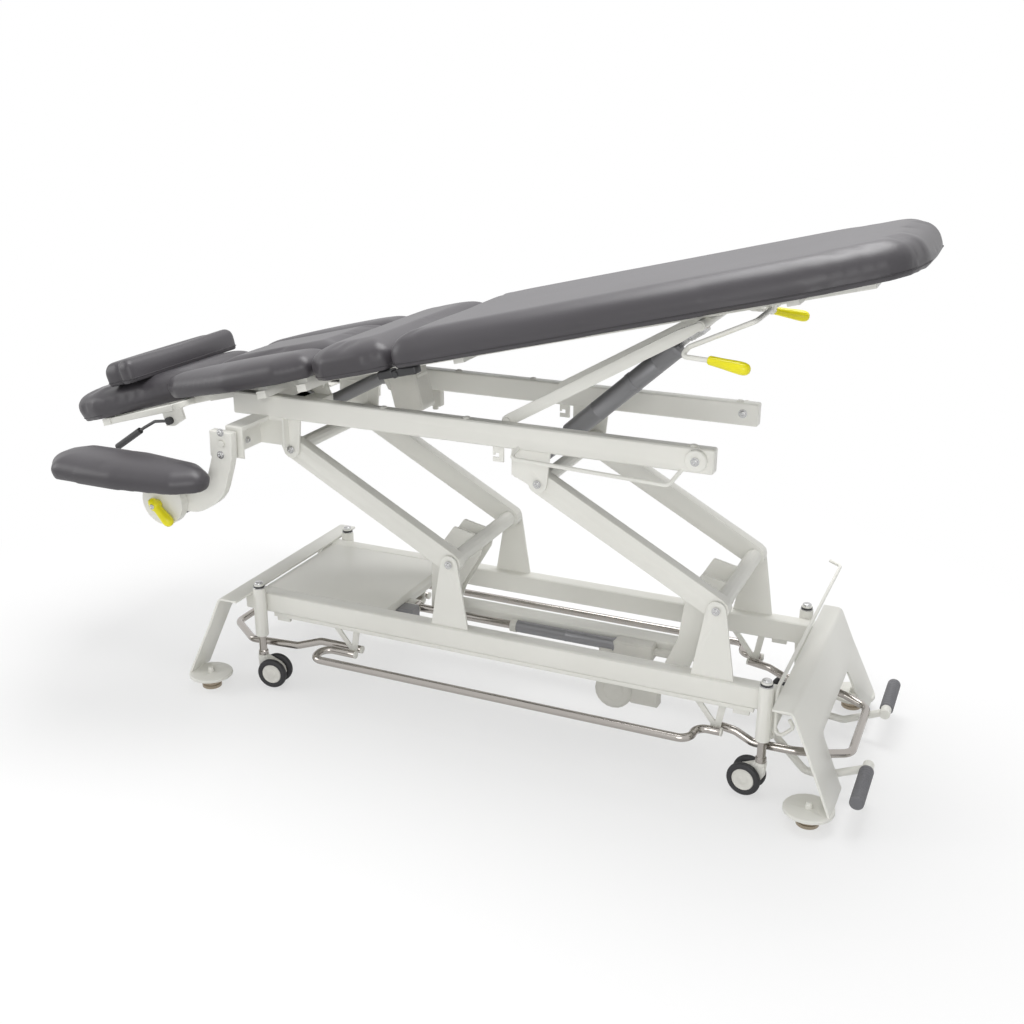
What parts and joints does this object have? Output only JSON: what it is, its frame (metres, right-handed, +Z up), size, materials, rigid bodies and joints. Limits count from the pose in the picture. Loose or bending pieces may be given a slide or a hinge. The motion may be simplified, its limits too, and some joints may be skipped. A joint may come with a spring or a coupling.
{
  "type": "massage table",
  "caption": "Electric treatment table: parallelogram lift, tilting leatherette top, hinged head section, armrests, retracting casters and a bar foot control.",
  "frame": {"origin": "on the floor under the middle of the table's overall length and width", "axes": "+X to the foot end, +Y to the far side, +Z up"},
  "size_m": [2.0364, 1.0218, 1.2211],
  "materials": {
    "powder_coat": "warm white powder coat",
    "pedal_steel": "white arms with grey rubber grips",
    "polished_steel": "bright steel tube and rod",
    "nickel": "nickel plated",
    "tyre": "dark tyre with a pale hub",
    "caster_housing": "off-white plastic",
    "grey_housing": "grey plastic",
    "cream_housing": "cream plastic and aluminium",
    "spring_tube": "grey painted steel tube",
    "black_plastic": "black plastic",
    "yellow_grip": "yellow plastic",
    "leatherette": "dark grey leatherette over foam"
  },
  "bodies": {
    "base": {"base_side_near": "powder_coat", "base_side_far": "powder_coat", "head_leg": "powder_coat", "foot_leg": "powder_coat", "base_tray": "powder_coat", "actuator_beam": "powder_coat", "control_box": "grey_housing"},
    "top": {"top_frame": "powder_coat", "leg_pad": "leatherette", "pelvis_pad": "leatherette", "chest_pad": "leatherette", "wing_pad_near": "leatherette", "wing_pad_far": "leatherette"},
    "head_section": {"head_frame": "powder_coat", "head_pad": "leatherette", "head_bolster": "leatherette"},
    "armrest_rest_near": {"armrest_clamp_near": "powder_coat", "armrest_pad_near": "leatherette"},
    "armrest_rest_far": {"armrest_clamp_far": "powder_coat", "armrest_pad_far": "leatherette"},
    "caster_pedals": {"caster_pedals": "pedal_steel"},
    "head_arms": {"head_arms": "powder_coat"},
    "foot_arms": {"foot_arms": "powder_coat"},
    "connecting_bar": {"connecting_bar": "powder_coat"},
    "lift_actuator": {"lift_actuator": "cream_housing"},
    "lift_rod": {"lift_rod": "polished_steel"},
    "upper_frame": {"upper_frame": "powder_coat"},
    "lifting_fork": {"lifting_fork": "powder_coat"},
    "gas_spring": {"gas_spring": "spring_tube"},
    "spring_rod": {"spring_rod": "nickel"},
    "tilt_rod": {"tilt_rod": "polished_steel"},
    "tilt_motor": {"tilt_motor": "cream_housing"},
    "release_bar": {"release_bar": "powder_coat"},
    "head_lever": {"head_lever": "black_plastic"},
    "push_rod_near": {"push_rod_near": "powder_coat"},
    "armrest_arm_near": {"armrest_arm_near": "powder_coat"},
    "armrest_lever_near": {"armrest_lever_near": "yellow_grip"},
    "foot_bar_near": {"foot_bar_near": "polished_steel"},
    "push_rod_far": {"push_rod_far": "powder_coat"},
    "armrest_arm_far": {"armrest_arm_far": "powder_coat"},
    "armrest_lever_far": {"armrest_lever_far": "yellow_grip"},
    "foot_bar_far": {"foot_bar_far": "polished_steel"},
    "foot_bar_head": {"foot_bar_head": "polished_steel"},
    "levelling_foot_head_near": {"levelling_foot_head_near": "nickel"},
    "caster_stem_head_near": {"caster_stem_head_near": "polished_steel"},
    "caster_housing_head_near": {"caster_housing_head_near": "caster_housing"},
    "caster_wheels_head_near": {"caster_wheels_head_near": "tyre"},
    "levelling_foot_head_far": {"levelling_foot_head_far": "nickel"},
    "caster_stem_head_far": {"caster_stem_head_far": "polished_steel"},
    "caster_housing_head_far": {"caster_housing_head_far": "caster_housing"},
    "caster_wheels_head_far": {"caster_wheels_head_far": "tyre"},
    "foot_bar_foot": {"foot_bar_foot": "polished_steel"},
    "levelling_foot_foot_near": {"levelling_foot_foot_near": "nickel"},
    "caster_stem_foot_near": {"caster_stem_foot_near": "polished_steel"},
    "caster_housing_foot_near": {"caster_housing_foot_near": "caster_housing"},
    "caster_wheels_foot_near": {"caster_wheels_foot_near": "tyre"},
    "levelling_foot_foot_far": {"levelling_foot_foot_far": "nickel"},
    "caster_stem_foot_far": {"caster_stem_foot_far": "polished_steel"},
    "caster_housing_foot_far": {"caster_housing_foot_far": "caster_housing"},
    "caster_wheels_foot_far": {"caster_wheels_foot_far": "tyre"}
  },
  "joints": [
    {"name": "foot_turn_head_near", "type": "hinge", "parent": "base", "child": "levelling_foot_head_near", "pos_m": [-0.62529, -0.281, 0], "axis": [0, 0, 1], "range_deg": [-180, 180]},
    {"name": "foot_turn_head_far", "type": "hinge", "parent": "base", "child": "levelling_foot_head_far", "pos_m": [-0.62529, 0.281, 0], "axis": [0, 0, 1], "range_deg": [-180, 180]},
    {"name": "foot_turn_foot_near", "type": "hinge", "parent": "base", "child": "levelling_foot_foot_near", "pos_m": [0.90671, -0.281, 0], "axis": [0, 0, 1], "range_deg": [-180, 180]},
    {"name": "foot_turn_foot_far", "type": "hinge", "parent": "base", "child": "levelling_foot_foot_far", "pos_m": [0.90671, 0.281, 0], "axis": [0, 0, 1], "range_deg": [-180, 180]},
    {"name": "head_arms_lift", "type": "hinge", "parent": "base", "child": "head_arms", "pos_m": [0.01911, 0, 0.4113], "axis": [0, 1, 0], "range_deg": [-33, 19]},
    {"name": "foot_arms_lift", "type": "hinge", "parent": "base", "child": "foot_arms", "pos_m": [0.66001, 0, 0.4113], "axis": [0, 1, 0], "range_deg": [-33, 19]},
    {"name": "frame_levelling", "type": "hinge", "parent": "head_arms", "child": "upper_frame", "pos_m": [-0.39949, 0, 0.6413], "axis": [0, 1, 0], "range_deg": [-19, 33]},
    {"name": "connecting_bar_pin", "type": "hinge", "parent": "head_arms", "child": "connecting_bar", "pos_m": [-0.08089, 0, 0.2125], "axis": [0, 1, 0], "range_deg": [-19, 33]},
    {"name": "lift_actuator_pin", "type": "hinge", "parent": "foot_arms", "child": "lift_actuator", "pos_m": [0.56001, -0.045, 0.2125], "axis": [0, 1, 0], "range_deg": [-21, 36.4]},
    {"name": "lift_rod_stroke", "type": "slide", "parent": "lift_actuator", "child": "lift_rod", "axis": [1, 0, 0], "range_m": [-0.119, 0.069]},
    {"name": "tilt", "type": "hinge", "parent": "upper_frame", "child": "top", "pos_m": [-0.35929, 0, 0.79], "axis": [0, -1, 0], "range_deg": [-14, 0]},
    {"name": "fork_pivot", "type": "hinge", "parent": "upper_frame", "child": "lifting_fork", "pos_m": [0.16071, 0, 0.773], "axis": [0, -1, 0], "range_deg": [-29, 0]},
    {"name": "gas_spring_pivot", "type": "hinge", "parent": "upper_frame", "child": "gas_spring", "pos_m": [0.19071, 0, 0.66], "axis": [0, -1, 0], "range_deg": [-27.1, 0]},
    {"name": "gas_spring_stroke", "type": "slide", "parent": "gas_spring", "child": "spring_rod", "axis": [0.7383, 0, 0.6745], "range_m": [-0.0555, 0]},
    {"name": "tilt_rod_pivot", "type": "hinge", "parent": "upper_frame", "child": "tilt_rod", "pos_m": [-0.45929, 0, 0.683], "axis": [0, -1, 0], "range_deg": [-9, 0]},
    {"name": "tilt_motor_stroke", "type": "slide", "parent": "tilt_rod", "child": "tilt_motor", "axis": [0.8846, 0, 0.4663], "range_m": [-0.014, 0]},
    {"name": "release_bar_turn", "type": "hinge", "parent": "top", "child": "release_bar", "pos_m": [0.7176, 0, 1.05685], "axis": [0, 1, 0], "range_deg": [0, 12]},
    {"name": "head_section_tilt", "type": "hinge", "parent": "top", "child": "head_section", "pos_m": [-0.65856, 0, 0.73147], "axis": [0, 1, 0], "range_deg": [-35, 10]},
    {"name": "head_lever_turn", "type": "hinge", "parent": "head_section", "child": "head_lever", "pos_m": [-0.74746, -0.2055, 0.67508], "axis": [0, 1, 0], "range_deg": [0, 8]},
    {"name": "armrest_height_near", "type": "hinge", "parent": "upper_frame", "child": "armrest_arm_near", "pos_m": [-0.47929, -0.345, 0.69], "axis": [0, 1, 0], "range_deg": [-15, 40]},
    {"name": "armrest_height_far", "type": "hinge", "parent": "upper_frame", "child": "armrest_arm_far", "pos_m": [-0.47929, 0.345, 0.69], "axis": [0, 1, 0], "range_deg": [-35, 20]},
    {"name": "armrest_level_near", "type": "hinge", "parent": "armrest_arm_near", "child": "armrest_rest_near", "pos_m": [-0.64629, -0.345, 0.532], "axis": [0, 1, 0], "range_deg": [-8, 8]},
    {"name": "armrest_lever_turn_near", "type": "hinge", "parent": "armrest_rest_near", "child": "armrest_lever_near", "pos_m": [-0.65629, -0.39, 0.526], "axis": [0, 1, 0], "range_deg": [-30, 30]},
    {"name": "armrest_level_far", "type": "hinge", "parent": "armrest_arm_far", "child": "armrest_rest_far", "pos_m": [-0.69026, 0.345, 0.59865], "axis": [0, 1, 0], "range_deg": [-8, 8]},
    {"name": "armrest_lever_turn_far", "type": "hinge", "parent": "armrest_rest_far", "child": "armrest_lever_far", "pos_m": [-0.70026, 0.39, 0.59265], "axis": [0, 1, 0], "range_deg": [-30, 30]},
    {"name": "pedal_press", "type": "hinge", "parent": "base", "child": "caster_pedals", "pos_m": [0.79071, 0, 0.13], "axis": [0, 1, 0], "range_deg": [0, 12]},
    {"name": "push_rod_slide_near", "type": "slide", "parent": "base", "child": "push_rod_near", "axis": [1, 0, 0], "range_m": [0, 0.0116]},
    {"name": "push_rod_slide_far", "type": "slide", "parent": "base", "child": "push_rod_far", "axis": [1, 0, 0], "range_m": [0, 0.0116]},
    {"name": "caster_drop_head_near", "type": "slide", "parent": "base", "child": "caster_stem_head_near", "axis": [0, 0, -1], "range_m": [0, 0.0251]},
    {"name": "caster_swivel_head_near", "type": "hinge", "parent": "caster_stem_head_near", "child": "caster_housing_head_near", "pos_m": [-0.50429, -0.2165, 0.08], "axis": [0, 0, 1], "continuous": true},
    {"name": "caster_roll_head_near", "type": "hinge", "parent": "caster_housing_head_near", "child": "caster_wheels_head_near", "pos_m": [-0.47458, -0.21233, 0.0425], "axis": [-0.1392, 0.9903, 0], "continuous": true},
    {"name": "caster_drop_head_far", "type": "slide", "parent": "base", "child": "caster_stem_head_far", "axis": [0, 0, -1], "range_m": [0, 0.0251]},
    {"name": "caster_swivel_head_far", "type": "hinge", "parent": "caster_stem_head_far", "child": "caster_housing_head_far", "pos_m": [-0.50429, 0.2165, 0.08], "axis": [0, 0, 1], "continuous": true},
    {"name": "caster_roll_head_far", "type": "hinge", "parent": "caster_housing_head_far", "child": "caster_wheels_head_far", "pos_m": [-0.4761, 0.20624, 0.0425], "axis": [0.342, 0.9397, 0], "continuous": true},
    {"name": "caster_drop_foot_near", "type": "slide", "parent": "base", "child": "caster_stem_foot_near", "axis": [0, 0, -1], "range_m": [0, 0.0251]},
    {"name": "caster_swivel_foot_near", "type": "hinge", "parent": "caster_stem_foot_near", "child": "caster_housing_foot_near", "pos_m": [0.78571, -0.2165, 0.08], "axis": [0, 0, 1], "continuous": true},
    {"name": "caster_roll_foot_near", "type": "hinge", "parent": "caster_housing_foot_near", "child": "caster_wheels_foot_near", "pos_m": [0.756, -0.21233, 0.0425], "axis": [-0.1392, -0.9903, 0], "continuous": true},
    {"name": "caster_drop_foot_far", "type": "slide", "parent": "base", "child": "caster_stem_foot_far", "axis": [0, 0, -1], "range_m": [0, 0.0251]},
    {"name": "caster_swivel_foot_far", "type": "hinge", "parent": "caster_stem_foot_far", "child": "caster_housing_foot_far", "pos_m": [0.78571, 0.2165, 0.08], "axis": [0, 0, 1], "continuous": true},
    {"name": "caster_roll_foot_far", "type": "hinge", "parent": "caster_housing_foot_far", "child": "caster_wheels_foot_far", "pos_m": [0.75752, 0.20624, 0.0425], "axis": [0.342, -0.9397, 0], "continuous": true},
    {"name": "foot_bar_rock_near", "type": "hinge", "parent": "base", "child": "foot_bar_near", "pos_m": [0.14071, -0.2, 0.128], "axis": [1, 0, 0], "range_deg": [-4, 4]},
    {"name": "foot_bar_rock_far", "type": "hinge", "parent": "base", "child": "foot_bar_far", "pos_m": [0.14071, 0.2, 0.128], "axis": [1, 0, 0], "range_deg": [-4, 4]},
    {"name": "foot_bar_rock_head", "type": "hinge", "parent": "base", "child": "foot_bar_head", "pos_m": [-0.25429, 0, 0.128], "axis": [0, 1, 0], "range_deg": [-3, 3]},
    {"name": "foot_bar_rock_foot", "type": "hinge", "parent": "base", "child": "foot_bar_foot", "pos_m": [0.67671, 0, 0.128], "axis": [0, 1, 0], "range_deg": [-3, 3]}
  ],
  "couplings": [
    {"joint": "foot_arms_lift", "follows": "head_arms_lift", "ratio": 1},
    {"joint": "frame_levelling", "follows": "head_arms_lift", "ratio": -1},
    {"joint": "connecting_bar_pin", "follows": "head_arms_lift", "ratio": -1},
    {"joint": "lift_actuator_pin", "follows": "head_arms_lift", "ratio": -1.1},
    {"joint": "lift_rod_stroke", "follows": "head_arms_lift", "m_per_rad": 0.205},
    {"joint": "fork_pivot", "follows": "tilt", "ratio": 2.063},
    {"joint": "gas_spring_pivot", "follows": "tilt", "ratio": 1.93},
    {"joint": "gas_spring_stroke", "follows": "tilt", "m_per_rad": 0.226},
    {"joint": "tilt_rod_pivot", "follows": "tilt", "ratio": 0.634},
    {"joint": "tilt_motor_stroke", "follows": "tilt", "m_per_rad": 0.056},
    {"joint": "push_rod_slide_near", "follows": "pedal_press", "m_per_rad": 0.055},
    {"joint": "push_rod_slide_far", "follows": "pedal_press", "m_per_rad": 0.055},
    {"joint": "caster_drop_head_near", "follows": "pedal_press", "m_per_rad": 0.1194},
    {"joint": "caster_drop_head_far", "follows": "pedal_press", "m_per_rad": 0.1194},
    {"joint": "caster_drop_foot_near", "follows": "pedal_press", "m_per_rad": 0.1194},
    {"joint": "caster_drop_foot_far", "follows": "pedal_press", "m_per_rad": 0.1194}
  ]
}
